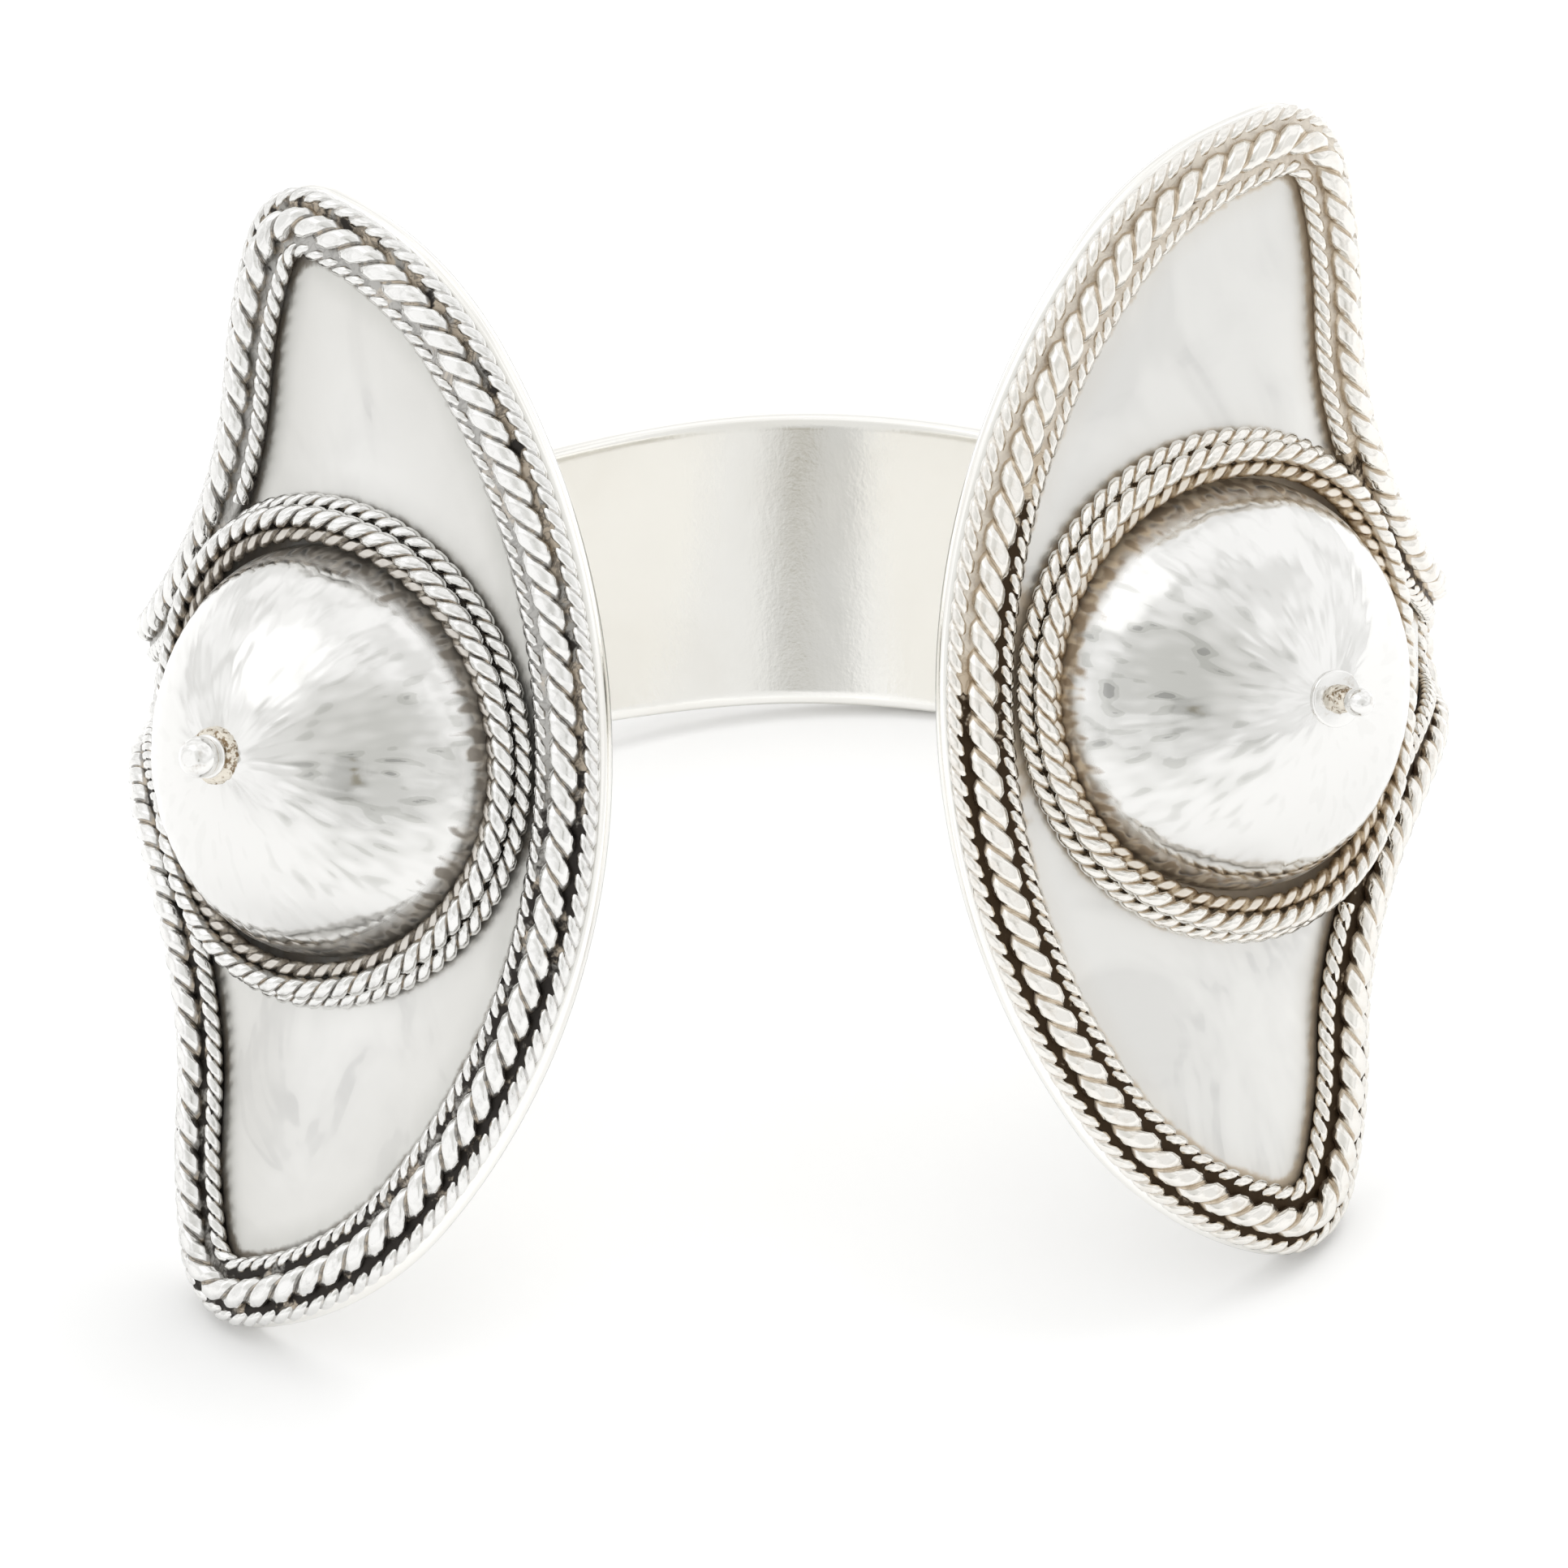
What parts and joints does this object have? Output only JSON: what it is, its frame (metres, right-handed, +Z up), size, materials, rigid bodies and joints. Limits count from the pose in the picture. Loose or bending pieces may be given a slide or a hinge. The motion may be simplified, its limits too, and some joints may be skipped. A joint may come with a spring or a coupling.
{
  "type": "arm ring",
  "caption": "Open silver arm ring: a sheet band widening into rounded shields that flank a narrow gap, each edged with twisted rope wire and carrying a hammered dome with a small finial.",
  "frame": {"origin": "centre of the bounding box seen from above, on the surface the part rests on", "axes": "+X across the hoop towards the right shield as the gap is faced, +Y from the gap towards the middle of the band, +Z up from the surface"},
  "size_m": [0.0659, 0.0561, 0.0483],
  "materials": {
    "sheet": "satin",
    "dome": "hammered and polished",
    "rope": "polished with dark recesses",
    "finial": "polished"
  },
  "bodies": {
    "root": {"hoop": "sheet", "dome_left": "dome", "dome_right": "dome", "finial_left": "finial", "finial_right": "finial", "outer_rope_left": "rope", "outer_rope_right": "rope", "coarse_rope_left": "rope", "coarse_rope_right": "rope", "inner_rope_left": "rope", "inner_rope_right": "rope", "neck_rope_left": "rope", "neck_rope_right": "rope", "collar_base_left": "rope", "collar_base_right": "rope", "collar_top_left": "rope", "collar_top_right": "rope", "collar_foot_left": "rope", "collar_foot_right": "rope"}
  },
  "joints": []
}
